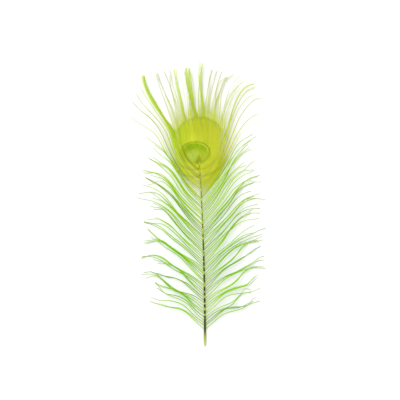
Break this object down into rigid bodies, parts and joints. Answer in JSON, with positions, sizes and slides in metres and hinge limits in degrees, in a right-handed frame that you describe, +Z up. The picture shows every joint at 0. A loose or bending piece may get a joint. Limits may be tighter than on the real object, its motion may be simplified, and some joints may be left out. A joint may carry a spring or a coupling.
{
  "type": "dyed peacock feather",
  "caption": "Single dyed peacock eye feather lying flat: short bare quill, tapering bowed shaft, egg-shaped eye, fanned crown and loose barbs hanging in locks.",
  "frame": {"origin": "on the surface it lies on, at the flat underside of the shaft, where the bare quill becomes the barbed shaft", "axes": "+Y along the shaft towards the eye, +Z up from the surface, +X to the right as seen from above"},
  "size_m": [0.1416, 0.285, 0.0069],
  "materials": {
    "dyed_barbs": "matte",
    "dyed_shaft": "satin"
  },
  "bodies": {
    "root": {"feather": "dyed_barbs"}
  },
  "joints": []
}
